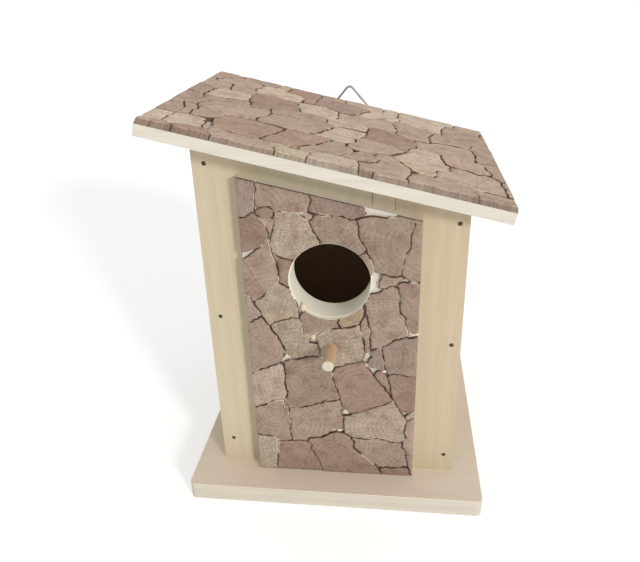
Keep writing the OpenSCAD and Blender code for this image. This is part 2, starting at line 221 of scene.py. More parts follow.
# Roof: corners along the slope from the left edge, and back from the front edge
ROOF_CORNERS = """
La 0 0; Lb 0 4; Lc 0 26; Ld 0 51; Le 0 76.5; Lf 0 101; Lg 0 124; Lh 0 147; fa 16 0; fb 33 0; fc 61.5 0
fd 75 0; fe 98 0; ff 104.5 0; fg 119.8 0; fh 151 0; fi 168 0; ra 168 13.3; rb 168 37; rc 168 65
rd 168 97; re 168 118; rf 168 136; rg 168 147; ba 12.5 147; bb 40 147; bc 47.5 147; bd 66.5 147
be 80.5 147; bf 105.8 147; bg 115 147; bh 150 147; 1 3 3.6; 2 9.5 6.8; 3 13.8 5; 4 9.2 11; 5 9.2 16
6 9.8 21; 7 9.8 26; 8 6.5 27; 9 16 28.2; 10 20.5 28.6; 11 24.5 27; 12 26 20; 13 26.3 13.5; 14 27 9.6
15 20 9.4; 16 29.5 9; 17 31.3 5; 18 28.3 14.5; 19 33 15.5; 20 41 14.7; 21 53 14.6; 22 59.3 14; 23 60 8
24 28.3 21; 25 27.3 27; 26 26.8 31; 27 28 35; 28 28.8 40; 29 29 44.5; 30 35 45; 31 42 44.8; 32 44 45.3
33 50 44.5; 34 59.5 42.5; 35 58 35; 36 57 30; 37 54.5 25; 38 52.8 19; 39 64 13.5; 40 70 13; 41 70.5 18
42 72 21.5; 43 76 26.5; 44 78.5 31; 45 80.5 36.5; 46 83.3 42; 47 80 43.5; 48 72.5 44; 49 75.5 11.5
50 76 7.5; 51 75.2 3; 53 80 14.3; 54 88.5 17; 55 97 16; 56 97.8 9; 57 98 4; 58 89.5 42; 59 90.3 37
60 94 34.5; 61 94.5 29; 62 91 24; 63 89 20; 65 96.5 33; 66 103.8 33.5; 67 104.5 30; 68 106.6 26
69 105.5 21; 70 103 17.7; 71 99 17; 72 107 36.5; 73 112.5 38; 74 114 35; 75 116.3 32; 76 117.5 28
77 120.3 24.5; 78 121.7 20; 79 121 15.5; 80 120.3 10; 81 119.5 5; 82 104 3.7; 83 125.5 17.3; 84 131.5 17
85 135 16.5; 86 141 15.7; 87 149.8 14.7; 88 149.8 10; 89 151 5; 90 155 14; 91 165 13.3; 92 122 33.8
93 130 33.2; 94 134 31.5; 95 133.2 25; 96 132.5 20; 98 165 17; 99 165.6 25.5; 100 164.5 30.5; 101 165 35
102 162.3 40.3; 103 157.5 41.7; 104 154 39; 105 150 42; 106 141.5 43.3; 107 141.2 38; 108 140.8 34.8
109 137 34.3; 110 139.5 46; 111 138.3 50; 112 137.7 56; 113 137 62.5; 114 130 64; 115 125 64.5
116 121.5 61.5; 117 120.5 55.5; 118 119.3 51.5; 119 117.5 47.3; 120 114.7 43.5; 121 145 63; 122 155 62
123 158 63.5; 124 159.3 57.5; 125 160.3 53; 126 161.3 47; 127 161.3 42; 129 156.5 66.5; 130 157 72
131 157.5 78; 132 155.8 86; 133 154.5 90; 134 145 89; 135 133.5 84.5; 136 132 82; 137 124.3 81.5
138 123.8 76; 139 125 68; 140 156.3 95; 141 158.5 99.3; 142 162.5 96; 143 133.6 89; 144 132.4 94
145 133.7 100; 146 135.3 106; 147 139.5 109.5; 148 131 112.3; 149 117 115; 150 112 116; 151 111.8 109
152 113.3 103; 153 114 95; 154 114.3 87; 155 115.5 84; 156 150 101; 157 140.8 107.5; 158 166.5 119
159 165.4 124; 160 165.3 130; 161 166.5 136; 162 155 135.5; 163 150 136.8; 164 144 134.5; 165 142.2 128
166 141.2 121; 167 141 114; 168 115.2 136; 169 114.6 130; 170 115.6 124; 171 115.3 119.5; 172 98.5 84.5
173 103.5 88.5; 174 108 88; 175 112 54.5; 176 106 57; 177 97 58.5; 178 95.3 58; 179 97 63; 180 98.2 67
181 98.2 73; 182 98.7 79; 183 91 43.5; 184 93.7 49; 185 93.3 54; 187 75 50; 188 77 56; 189 79.2 61.5
190 81 66.5; 191 81.8 71.5; 192 90 72.5; 193 76.8 74; 194 76.2 80; 195 75.5 86; 196 80 89; 197 84 90
198 88 88; 199 43.7 50; 200 45.5 56; 201 47 60; 202 48 64; 203 47.3 67.5; 204 58 67.2; 205 66 68.6
206 68 86; 207 61 84.5; 208 52 80.5; 209 46.2 77; 210 46.3 73; 211 31.5 107.5; 212 42 108.5
213 50 107.5; 214 56 107.5; 215 57.3 100; 216 59.3 92; 217 41 70.5; 218 36 67; 219 35 74; 220 33.3 82
221 31.8 90; 222 31 97; 223 31.7 103; 224 23 47.5; 225 17 48.5; 226 12.5 50.3; 227 13.5 55.5
228 15.7 61; 229 16.5 65.3; 230 27 65.5; 231 30.5 81.5; 232 24 79; 233 20 77.5; 234 9.5 76.5
235 10.3 71; 236 11.7 66.5; 237 6 51; 238 8.7 44; 239 10.2 39.5; 240 10 33; 242 15.3 46; 243 15.7 41
244 14.8 36; 245 15.3 31; 246 24 29.3; 247 30.5 98.8; 248 24 99; 249 18.5 98.8; 250 12.5 98.5
251 11.3 94; 252 10.2 88; 253 10 82; 254 9 100; 255 29.7 113; 256 28.7 117.8; 257 22 118.3
258 15.5 117.5; 259 15.7 112; 260 17.2 105; 261 10 120; 262 4.8 119; 263 30.5 123; 264 31 130.5
265 28.5 134.5; 266 25.5 137.5; 267 17 140; 268 11.5 135; 269 6.5 128; 270 3.7 123.5; 271 14.5 144
272 34 132.5; 273 38 132; 274 38.5 138; 275 57.5 113; 276 58.3 122; 277 55.5 125; 278 50 127.5
279 46.5 130; 280 43 131.5; 281 60 125.5; 282 65.5 130; 283 66.7 136; 284 46.3 138; 285 59.5 111
286 65 110.5; 287 65.5 118; 288 65 125; 289 72 110; 290 80 106.3; 291 80.3 98; 292 81.2 92.5
293 76 135.5; 294 84 134.5; 295 92 132; 296 97 130.5; 297 97.3 125.5; 298 94.3 121; 299 92.8 116
300 92 109; 301 86 105.8; 302 82 139; 303 80.8 143.5; 304 105.3 134; 305 105.5 141; 306 97 108.5
307 102 112; 308 107 114.8
"""

ROOF_SLICES = """
R1 brown: La Lb 1 2 3 fa
R2 light: Lb 1 2 4 5 6 7 8 Lc
R3 light: 2 4 5 6 7 9 10 11 12 13 14 15 3
R6 dark: 3 15 14 16 17 fb fa
R7 beige: fb 17 16 18 19 20 21 22 23 fc
R8 dark: 18 24 25 26 27 28 29 30 31 32 33 34 35 36 37 38 21 20 19
R9 dark: 34 35 36 37 38 21 22 39 40 41 42 43 44 45 46 47 48
R10 olive: fc 23 22 39 40 49 50 51 fd
R11 light: fd 51 50 49 53 54 55 56 57 fe
R12 beige: 40 41 42 43 44 45 46 58 59 60 61 62 63 54 53 49
R13 beige: 54 63 62 61 65 66 67 68 69 70 71 55
R14 beige: 57 56 55 71 70 69 68 67 66 72 73 74 75 76 77 78 79 80 81 fg ff 82
R15 brown: fe 57 82 ff
R16 beige: fg 81 80 79 83 84 85 86 87 88 89 fh
R17 beige: fh 89 88 87 90 91 ra fi
R18 olive: 75 92 93 94 95 96 84 83 78 77 76
R19 rose: 94 95 96 84 85 86 87 90 91 98 99 100 101 102 103 104 105 106 107 108 109
R20 pale: 74 75 92 93 94 109 108 107 106 110 111 112 113 114 115 116 117 118 119 120 73
R21 pink: 106 110 111 112 113 121 122 123 124 125 126 127 103 104 105
R22 beige: 123 124 125 126 127 102 101 rb rc
R23 beige: 101 100 99 98 91 ra rb
R24 beige: 115 114 113 121 122 129 130 131 132 133 134 135 136 137 138 139
R27 beige: 129 123 rc rd 142 141 140 133 132 131 130
R28 brown: 136 135 143 144 145 146 147 148 149 150 151 152 153 154 155 137
R25 beige: 135 134 133 140 156 157 147 146 145 144 143
R26 brown: 157 156 140 141 142 rd re 158 159 160 161 162 163 164 165 166 167
R31 beige: re 158 159 160 161 rf
R30 beige: 163 162 161 rf rg bh
R29 light: 150 149 148 147 157 167 166 165 164 163 bh bg 168 169 170 171
R32 dark: 172 173 174 154 155 137 138 139 115 116 117 118 175 176 177 178 179 180 181 182
R33 beige: 178 177 176 175 118 119 120 73 72 66 65 60 59 183 184 185
R34 light: 48 187 188 189 190 191 192 181 180 179 178 185 184 183 58 46 47
R35 light: 191 193 194 195 196 197 198 172 182 181 192
R36 beige: 32 199 200 201 202 203 204 205 193 191 190 189 188 187 48 34 33
R37 beige: 203 204 205 193 194 195 206 207 208 209 210
R38 dark: 211 212 213 214 215 216 207 208 209 210 217 218 219 220 221 222 223
R39 rose: 218 217 210 203 202 201 200 199 32 31 30 29 224 225 226 227 228 229 230
R40 brown: 229 230 218 219 220 231 232 233 234 235 236
R41 mauve: Le 234 235 236 229 228 227 226 237 Ld
R42 brown: Ld 237 238 239 240 7 8 Lc
R43 beige: 237 226 242 243 244 245 9 7 240 239 238
R5 beige: 226 225 224 29 28 27 26 246 10 9 245 244 243 242
R44 light: 234 233 232 231 220 221 222 247 248 249 250 251 252 253
R45 mauve: Le 234 253 252 251 250 254 Lf
R46 brown: 249 248 247 222 223 211 255 256 257 258 259 260
R47 rose: Lf 254 250 249 260 259 258 261 262 270 Lg
R48 rose: 262 261 258 257 256 263 264 265 266 267 268 269 270
R49 brown: Lg 270 269 268 267 271 ba Lh
R50 beige: ba 271 267 266 265 272 273 274 bb
R51 light: 256 255 211 212 213 214 275 276 277 278 279 280 273 272 264 263
R52 dark: 279 278 277 276 281 282 283 bd bc 284
R53 tan: 273 280 279 284 bc bb 274
R54 red: 276 275 285 286 287 288 282 281
R55 light: 215 214 285 286 289 290 291 292 196 195 206 207 216
R56 mauve: 286 287 288 282 283 293 294 295 296 297 298 299 300 301 290 289
R57 beige: 283 293 294 302 303 be bd
R58 light: 294 295 296 304 305 bf be 303 302
R59 light: 296 297 298 299 300 306 307 308 150 171 170 169 168 bg bf 305 304
R61 rose: 290 301 300 306 307 308 150 151 152 153 154 174 173 172 198 197 196 292 291
"""

# Light spots of glue and filler in the gaps: x, z, width, height
PANEL_GLUE = (
    (-9.5, 87.5, 3.6, 3.4), (6.5, 42.5, 3.2, 4.0), (3.0, 29.2, 3.4, 2.6), (17.5, 72.0, 3.4, 3.0),
    (26.5, 68.6, 3.6, 2.8), (-24.0, 75.6, 2.8, 2.6), (40.5, 91.2, 6.5, 2.6), (-14.0, 104.0, 3.4, 5.5),
)
ROOF_GLUE = (
    (25.8, 19.0, 1.5, 6.0), (103.6, 3.6, 3.2, 3.0), (75.6, 5.0, 1.6, 6.0), (118.2, 49.0, 2.4, 4.0),
)


# ---------------------------------------------------------------- small helpers
def linear(colour):
    """A colour of 0 to 255 as it looks, as linear RGBA."""
    parts = [c / 255.0 for c in colour]
    return [c / 12.92 if c <= 0.04045 else ((c + 0.055) / 1.055) ** 2.4 for c in parts] + [1.0]


def read_corners(text):
    corners = {}
    for entry in text.replace("\n", ";").split(";"):
        words = entry.split()
        if words:
            corners[words[0]] = np.array((float(words[1]), float(words[2])))
    return corners


def read_slices(text):
    """Rows of (tone, corner names)."""
    rows = []
    for line in text.strip().replace("\n    ", " ").split("\n"):
        head, names = line.split(":")
        rows.append((head.split()[1], names.split()))
    return rows


def smooth_noise(x, y, z, scale):
    return noise.noise(Vector((x / scale, y / scale, z)))


def add_mesh(name, verts, faces, flat_from=None):
    """A piece from vertices in mm. Faces from flat_from on are flat shaded."""
    mesh = bpy.data.meshes.new(name)
    mesh.from_pydata([(x * MM, y * MM, z * MM) for x, y, z in verts], [], faces)
    mesh.validate()
    smooth = [flat_from is None or i < flat_from for i in range(len(mesh.polygons))]
    mesh.polygons.foreach_set("use_smooth", smooth)
    mesh.update()
    piece = bpy.data.objects.new(name, mesh)
    bpy.context.scene.collection.objects.link(piece)
    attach(piece, "root")
    return piece


# ---------------------------------------------------------------- material nodes
class Nodes:
    """A material under construction, with short calls for its nodes."""

    def __init__(self, name):
        self.material = bpy.data.materials.new(name)
        self.material.use_nodes = True
        self.tree = self.material.node_tree
        self.bsdf = self.tree.nodes["Principled BSDF"]

    def add(self, kind, inputs=None, **settings):
        node = self.tree.nodes.new(kind)
        for key, value in settings.items():
            setattr(node, key, value)
        for key, value in (inputs or {}).items():
            self.plug(value, node.inputs[key])
        return node

    def plug(self, value, socket):
        if isinstance(value, bpy.types.NodeSocket):
            self.tree.links.new(value, socket)
        else:
            socket.default_value = value

    def math(self, operation, *values, clamp=False):
        node = self.add("ShaderNodeMath", operation=operation, use_clamp=clamp)
        for i, value in enumerate(values):
            self.plug(value, node.inputs[i])
        return node.outputs[0]

    def noise(self, vector, scale, detail=3.0, rough=0.55):
        node = self.add("ShaderNodeTexNoise", {
            "Vector": vector, "Scale": scale, "Detail": detail, "Roughness": rough})
        return node.outputs["Fac"]

    def stretch(self, vector, scale, turn=(0, 0, 0)):
        node = self.add("ShaderNodeMapping", {"Vector": vector, "Scale": scale, "Rotation": turn})
        return node.outputs["Vector"]

    def ramp(self, value, stops, interpolation="LINEAR"):
        node = self.add("ShaderNodeValToRGB", {"Fac": value})
        band = node.color_ramp
        band.interpolation = interpolation
        while len(band.elements) < len(stops):
            band.elements.new(0.5)
        for element, (place, colour) in zip(band.elements, stops):
            element.position = place
            element.color = colour
        return node.outputs["Color"]

    def mix(self, amount, first, second, blend="MIX"):
        node = self.add("ShaderNodeMix", data_type="RGBA", blend_type=blend)
        self.plug(amount, node.inputs[0])
        self.plug(first, node.inputs[6])
        self.plug(second, node.inputs[7])
        return node.outputs[2]

    def bump(self, height, strength, distance_mm):
        node = self.add("ShaderNodeBump", {
            "Height": height, "Strength": strength, "Distance": distance_mm * MM})
        self.plug(node.outputs["Normal"], self.bsdf.inputs["Normal"])

    def object_place(self):
        return self.add("ShaderNodeTexCoord").outputs["Object"]


def grey(level):
    return (level, level, level, 1.0)


def in_entrance(n, place):
    """1 on the walls of the entrance hole, whose colour is lightened with painted light, else 0."""
    part = n.add("ShaderNodeSeparateXYZ", {"Vector": place})
    off_x = n.math("SUBTRACT", part.outputs["X"], HOLE_X * MM)
    off_z = n.math("SUBTRACT", part.outputs["Z"], (HOLE_Z + BASE_TOP) * MM)
    reach = n.math("SQRT", n.math("ADD", n.math("POWER", off_x, 2.0), n.math("POWER", off_z, 2.0)))
    near_hole = n.math("LESS_THAN", reach, (HOLE_RADIUS + HOLE_WALL_NEAR) * MM)
    at_front = n.math("LESS_THAN", part.outputs["Y"], INNER_FRONT_Y * MM)
    return n.math("MULTIPLY", near_hole, at_front)


def slice_material():
    """Cross-cut branch wood: growth rings, rays, saw marks, speckle, a darker bark rim, crack walls in a
    dark brown that is partly bark and partly painted shade, and entrance walls lightened with painted light.
    """
    n = Nodes("slice_wood")
    pith = n.add("ShaderNodeAttribute", attribute_name="pith").outputs["Vector"]
    tone = n.add("ShaderNodeAttribute", attribute_name="tone").outputs["Color"]
    rim = n.add("ShaderNodeAttribute", attribute_name="rim").outputs["Fac"]
    place = n.object_place()
    rings = n.add("ShaderNodeTexWave", {
        "Vector": pith, "Scale": 0.125, "Distortion": 2.6, "Detail": 3.0, "Detail Scale": 0.9,
        "Detail Roughness": 0.6}, wave_type="RINGS", rings_direction="Z").outputs["Fac"]
    ring_shade = n.ramp(rings, [(0.0, grey(0.80)), (0.30, grey(0.96)), (0.8, grey(1.05)), (1.0, grey(0.98))])
    part = n.add("ShaderNodeSeparateXYZ", {"Vector": pith})
    angle = n.math("ARCTAN2", part.outputs["Y"], part.outputs["X"])
    ray_place = n.add("ShaderNodeCombineXYZ", {
        "X": n.math("MULTIPLY", angle, 9.0), "Y": part.outputs["Z"]}).outputs["Vector"]
    rays = n.noise(ray_place, 3.0, detail=4.0)
    ray_shade = n.ramp(rays, [(0.30, grey(0.62)), (0.40, grey(0.96)), (0.62, grey(1.08))])
    stain = n.noise(pith, 0.13, detail=6.0, rough=0.68)
    stain_shade = n.ramp(stain, [
        (0.30, (0.72, 0.66, 0.60, 1)), (0.48, grey(0.98)), (0.7, (1.16, 1.17, 1.16, 1))])
    speckle = n.noise(place, 1400.0, detail=3.0, rough=0.75)
    speckle_shade = n.ramp(speckle, [(0.3, grey(0.66)), (0.48, grey(1.0)), (0.7, grey(1.18))])
    faint = n.ramp(n.noise(pith, 0.16, detail=3.0), [(0.40, grey(0.10)), (0.62, grey(1.0))])
    colour = n.mix(faint, tone, n.mix(1.0, tone, ring_shade, "MULTIPLY"))
    strokes = n.noise(n.stretch(pith, (1.0, 2.6, 1.0), (0, 0, 0.9)), 0.8, detail=6.0, rough=0.75)
    stroke_shade = n.ramp(strokes, [
        (0.36, (0.60, 0.55, 0.52, 1)), (0.47, grey(0.98)), (0.60, (1.22, 1.21, 1.16, 1))])
    torn = n.add("ShaderNodeAttribute", attribute_name="torn").outputs["Fac"]
    colour = n.mix(torn, colour, n.mix(1.0, colour, stroke_shade, "MULTIPLY"))
    colour = n.mix(1.0, colour, ray_shade, "MULTIPLY")
    colour = n.mix(1.0, colour, stain_shade, "MULTIPLY")
    colour = n.mix(0.8, colour, speckle_shade, "MULTIPLY")
    # Rims and crack walls turn brown: bark on the rims, and in the cracks partly bark, partly painted shade;
    # filler keeps some pale
    bark_and_crack_shade = n.ramp(n.math("ADD", rim, n.math("MULTIPLY", n.noise(place, 420.0), 0.5)),
                  [(0.95, grey(0.0)), (1.45, grey(0.85))])
    filler = n.ramp(n.noise(place, 95.0, detail=4.0), [(0.56, grey(0.0)), (0.63, grey(1.0))])
    crack = n.mix(filler, linear((88, 64, 52)), linear((206, 190, 168)))
    colour = n.mix(bark_and_crack_shade, colour, crack)
    # The entrance walls take a pale cream: pale cut wood, lightened further with painted light
    colour = n.mix(in_entrance(n, place), colour, linear((226, 220, 202)))
    n.plug(colour, n.bsdf.inputs["Base Color"])
    saw = n.add("ShaderNodeTexWave", {
        "Vector": n.stretch(pith, (1.0, 1.0, 1.0), (0, 0, 0.5)), "Scale": 0.28, "Distortion": 1.0,
        "Detail": 2.0}, wave_type="BANDS").outputs["Fac"]
    torn_height = n.math("ADD", speckle, n.math("MULTIPLY", rays, 0.6))
    height = n.math("ADD", n.math("MULTIPLY", saw, 0.35), torn_height)
    n.bump(height, 0.55, 0.25)
    n.bsdf.inputs["Roughness"].default_value = 0.85
    n.bsdf.inputs["Specular IOR Level"].default_value = 0.2
    return n.material


def board_material(name, light, dark, grain_turn=(0, 0, 0), strips=None, top_light=None):
    """Sawn pine with long grain, which runs along Z, or as grain_turn turns it.

    strips are tones of glued strips across X. The last argument lightens the top of the base, which is
    painted light."""
    n = Nodes(name)
    place = n.object_place()
    along = n.stretch(place, (1.0, 1.0, 1.0), grain_turn)
    fibre = n.noise(n.stretch(along, (1500.0, 1500.0, 28.0)), 1.0, detail=4.0, rough=0.6)
    bend = n.noise(n.stretch(along, (30.0, 30.0, 7.0)), 1.0, detail=2.0)
    bands = n.add("ShaderNodeTexWave", {
        "Vector": n.stretch(along, (1.0, 1.0, 0.1)), "Scale": 42.0, "Distortion": 5.0,
        "Detail": 2.0, "Detail Scale": 0.7}, wave_type="BANDS", bands_direction="X").outputs["Fac"]
    amount = n.math("ADD", n.math("MULTIPLY", bands, 0.20), n.math("MULTIPLY", bend, 0.75))
    colour = n.mix(amount, linear(light), linear(dark))
    fibre_shade = n.ramp(fibre, [(0.3, (0.84, 0.80, 0.76, 1)), (0.5, grey(1.0)), (0.75, grey(1.06))])
    colour = n.mix(0.55, colour, fibre_shade, "MULTIPLY")
    part = n.add("ShaderNodeSeparateXYZ", {"Vector": place})
    if strips:
        across = n.math("DIVIDE", n.math("SUBTRACT", part.outputs["X"], WALL_EDGE_X * MM), FRONT_WIDTH * MM)
        colour = n.mix(1.0, colour, n.ramp(across, strips, "CONSTANT"), "MULTIPLY")
    # Painted light: the top of the base is lightened
    if top_light:
        on_top = n.math("GREATER_THAN", part.outputs["Z"], (BASE_TOP - 0.4) * MM)
        colour = n.mix(on_top, colour, n.mix(1.0, colour, top_light, "MULTIPLY"))
    # The entrance walls take a very pale cream: cut wood, lightened further with painted light
    colour = n.mix(in_entrance(n, place), colour, linear((238, 233, 216)))
    from_middle_x = n.math("ABSOLUTE", part.outputs["X"])
    from_middle_y = n.math("ABSOLUTE", n.math("SUBTRACT", part.outputs["Y"], CHAMBER_MIDDLE_Y * MM))
    in_x = n.math("LESS_THAN", from_middle_x, CHAMBER_HALF_WIDTH * MM)
    in_y = n.math("LESS_THAN", from_middle_y, CHAMBER_HALF_DEPTH * MM)
    in_z = n.math("GREATER_THAN", part.outputs["Z"], CHAMBER_FLOOR * MM)
    chamber_shade = n.math("MULTIPLY", n.math("MULTIPLY", in_x, in_y), in_z)
    # Inside the box the wood takes one flat, darker and redder colour: painted shade
    colour = n.mix(chamber_shade, colour, linear((196, 168, 142)))
    n.plug(colour, n.bsdf.inputs["Base Color"])
    n.bump(n.math("ADD", fibre, n.math("MULTIPLY", bands, 0.3)), 0.4, 0.2)
    n.bsdf.inputs["Roughness"].default_value = 0.75
    n.bsdf.inputs["Specular IOR Level"].default_value = 0.25
    return n.material


def perch_material():
    """Tan dowel with long grain and a pale sawn end."""
    n = Nodes("dowel_wood")
    place = n.object_place()
    grain = n.noise(n.stretch(place, (900.0, 60.0, 900.0)), 1.0, detail=3.0)
    shaft = n.mix(grain, linear((212, 182, 148)), linear((172, 140, 106)))
    end = n.mix(n.noise(place, 900.0), linear((206, 200, 184)), linear((182, 170, 148)))
    y = n.add("ShaderNodeSeparateXYZ", {"Vector": place}).outputs["Y"]
    at_end = n.math("LESS_THAN", y, (PERCH_TIP_Y + 0.35) * MM)
    n.plug(n.mix(at_end, shaft, end), n.bsdf.inputs["Base Color"])
    n.bump(grain, 0.3, 0.15)
    n.bsdf.inputs["Roughness"].default_value = 0.7
    return n.material


def glue_material():
    n = Nodes("dried_glue")
    stain = n.noise(n.object_place(), 500.0)
    n.plug(n.mix(stain, linear((218, 204, 184)), linear((188, 168, 142))), n.bsdf.inputs["Base Color"])
    n.bump(stain, 0.4, 0.3)
    n.bsdf.inputs["Roughness"].default_value = 0.5
    return n.material


def steel_material(name, light, dark, roughness):
    n = Nodes(name)
    stain = n.noise(n.object_place(), 350.0, detail=4.0)
    n.plug(n.mix(stain, linear(light), linear(dark)), n.bsdf.inputs["Base Color"])
    n.bsdf.inputs["Metallic"].default_value = 0.85
    n.plug(n.ramp(stain, [(0.3, grey(roughness)), (0.7, grey(roughness + 0.2))]), n.bsdf.inputs["Roughness"])
    n.bump(stain, 0.2, 0.1)
    return n.material


# ---------------------------------------------------------------- slice mosaics

def dense_ring(corners):
    """The outline of a slice with a point every EDGE_STEP or so."""
    ring = []
    for a, b in zip(corners, corners[1:] + corners[:1]):
        count = max(1, round(float(np.hypot(*(b - a))) / EDGE_STEP))
        ring += [a + (b - a) * i / count for i in range(count)]
    return ring


def wandered(point, layer):
    """The point moved a little, the same way for every slice that shares it."""
    if layer["on_outline"](point):
        return point
    x, y = point
    wide_x = smooth_noise(x, y, 3.1, WANDER_WIDE_SCALE) * WANDER_WIDE
    wide_y = smooth_noise(x, y, 9.4, WANDER_WIDE_SCALE) * WANDER_WIDE
    fine_x = smooth_noise(x, y, 5.2, WANDER_FINE_SCALE) * WANDER_FINE
    fine_y = smooth_noise(x, y, 7.7, WANDER_FINE_SCALE) * WANDER_FINE
    return np.array((x + (wide_x + fine_x), y + (wide_y + fine_y)))


def inset(ring, layer, gap):
    """The ring drawn in by the half crack, and kept out of the entrance hole."""
    points = np.array(ring)
    ahead, behind = np.roll(points, -1, 0), np.roll(points, 1, 0)
    area = np.sum(points[:, 0] * ahead[:, 1] - ahead[:, 0] * points[:, 1])
    along = (ahead - behind) * (1 if area > 0 else -1)
    length = np.maximum(np.hypot(along[:, 0], along[:, 1]), 1e-6)
    inward = np.stack((-along[:, 1], along[:, 0]), 1) / length[:, None]
    out = []
    for p, normal in zip(points, inward):
        ragged = 1.0 + smooth_noise(p[0], p[1], gap * 40, CRACK_RAGGED_SCALE) * CRACK_RAGGED
        if layer["on_outline"](p):
            moved = layer["snap"](p, p + normal * gap * OUTLINE_OPENING)
        else:
            moved = p + normal * gap * ragged
        out.append(layer["clear"](moved))
    return np.array(out)


def grid_inside(ring):
    """Jittered grid points inside the ring and clear of its edge, with the distance to the edge."""
    low, high = ring.min(0), ring.max(0)
    xs = np.arange(low[0], high[0], GRID_STEP)
    ys = np.arange(low[1], high[1], GRID_STEP)
    points = np.stack(np.meshgrid(xs, ys), -1).reshape(-1, 2)
    points = points + np.random.default_rng(SEED).uniform(-GRID_JITTER, GRID_JITTER, points.shape)
    a, b = ring, np.roll(ring, -1, 0)
    step = b - a
    rise = np.where(np.abs(step[:, 1]) < 1e-9, 1e-9, step[:, 1])
    px, py = points[:, 0:1], points[:, 1:2]
    spans = (a[:, 1] > py) != (b[:, 1] > py)
    crossing = spans & (px < a[:, 0] + (py - a[:, 1]) * step[:, 0] / rise)
    inside = crossing.sum(1) % 2 == 1
    square = np.maximum((step ** 2).sum(1), 1e-9)
    t = ((px - a[:, 0]) * step[:, 0] + (py - a[:, 1]) * step[:, 1]) / square
    t = np.clip(t, 0, 1)
    away = np.hypot(px - a[:, 0] - t * step[:, 0], py - a[:, 1] - t * step[:, 1]).min(1)
    keep = inside & (away > GRID_CLEAR)
    return points[keep], away[keep]


def build_slice(corners, layer, dice):
    """Vertices (across, up, height), top faces, wall faces and rim values of one slice."""
    ring = [wandered(p, layer) for p in dense_ring(corners)]
    ring = inset(ring, layer, dice.uniform(CRACK_LEAST, CRACK_MOST))
    inner, away = grid_inside(ring)
    flat = [Vector(p) for p in ring] + [Vector(p) for p in inner]
    count = len(ring)
    edges = [(i, (i + 1) % count) for i in range(count)]
    out, _, faces, origin, _, _ = delaunay_2d_cdt(flat, edges, [list(range(count))], 1, 1e-5)
    sides = {}
    for face in faces:
        for a, b in zip(face, face[1:] + face[:1]):
            sides[(a, b)] = True
    border = [(a, b) for a, b in sides if (b, a) not in sides]
    rim_ids = {i for edge in border for i in edge}
    centre = ring.mean(0)
    tilt = (dice.uniform(-TOP_TILT, TOP_TILT), dice.uniform(-TOP_TILT, TOP_TILT))
    top = SLICE_THICKNESS - dice.uniform(TOP_DROP_LEAST, TOP_DROP_MOST)
    seed = dice.uniform(0, 90)
    verts, rims = [], []
    for i, p in enumerate(out):
        source = [s for s in origin[i] if s >= count]
        depth = away[source[0] - count] if source else 0.0
        edge_fall = EDGE_FALL * max(0.0, 1 - depth / EDGE_FALL_REACH) ** 2
        wave = smooth_noise(p[0], p[1], seed, 6.0) * 0.22
        wave += smooth_noise(p[0], p[1], seed + 5, 1.7) * 0.10
        lean = (p[0] - centre[0]) * tilt[0] + (p[1] - centre[1]) * tilt[1]
        verts.append((p[0], p[1], min(SLICE_THICKNESS - TOP_CLEAR, top + wave + lean - edge_fall)))
        on_border = layer["on_outline"](np.array(p))
        rims.append(max(0.0, 1 - depth / RIM_REACH) * (OUTLINE_RIM_SHARE if on_border else 1.0))
    start = len(verts)
    high, low = {}, {}
    for i in sorted(rim_ids):
        high[i], low[i] = start, start + 1
        start += 2
        verts += [verts[i], (verts[i][0], verts[i][1], 0.0)]
        outer = layer["on_outline"](np.array(verts[i][:2]))
        rims += [OUTLINE_RIM if outer else WALL_RIM] * 2
    walls = [(high[b], high[a], low[a], low[b]) for a, b in border]
    return verts, [tuple(f) for f in faces], walls, rims


def build_mosaic(name, corners, slices, layer, material):
    """One piece with every slice of a map, carrying tone, ring place and rim for the material."""
    dice = random.Random(SEED)
    verts, tops, walls, rims, tones, piths, torn = [], [], [], [], [], [], []
    for tone, names in slices:
        part, faces, sides, part_rims = build_slice([corners[k] for k in names], layer, dice)
        base = len(verts)
        verts += part
        tops += [tuple(i + base for i in f) for f in faces]
        walls += [tuple(i + base for i in f) for f in sides]
        rims += part_rims
        middle = np.array([corners[k] for k in names]).mean(0)
        reach, swing = dice.uniform(2, 26), dice.uniform(0, math.tau)
        pith = middle + reach * np.array((math.cos(swing), math.sin(swing)))
        # Random tone per slice, times the layer's painted light: panel slices darker, roof slices brighter
        shade = dice.uniform(0.93, 1.07) * layer["shade"]
        colour = [c * shade for c in linear(TONES[tone])[:3]] + [1.0]
        mark = dice.uniform(0, 200)
        torn_share = 1.0 if tone in TORN_TONES else dice.uniform(0.15, 0.55)
        torn += [torn_share] * len(part)
        for (x, y, _), rim in zip(part, part_rims):
            # Outline walls are darkened: painted shade
            wall_shade = OUTLINE_WALL_SHADE if rim == OUTLINE_RIM else 1.0
            tones += [c * wall_shade for c in colour[:3]] + [1.0]
            piths += [x - pith[0], y - pith[1], mark]
    placed = [layer["place"](*v) for v in verts]
    piece = add_mesh(name, placed, tops + walls, flat_from=len(tops))
    mesh = piece.data
    mesh.attributes.new("tone", "FLOAT_COLOR", "POINT").data.foreach_set("color", tones)
    mesh.attributes.new("pith", "FLOAT_VECTOR", "POINT").data.foreach_set("vector", piths)
    mesh.attributes.new("rim", "FLOAT", "POINT").data.foreach_set("value", rims)
    mesh.attributes.new("torn", "FLOAT", "POINT").data.foreach_set("value", torn)
    mesh.materials.append(material)
    return piece


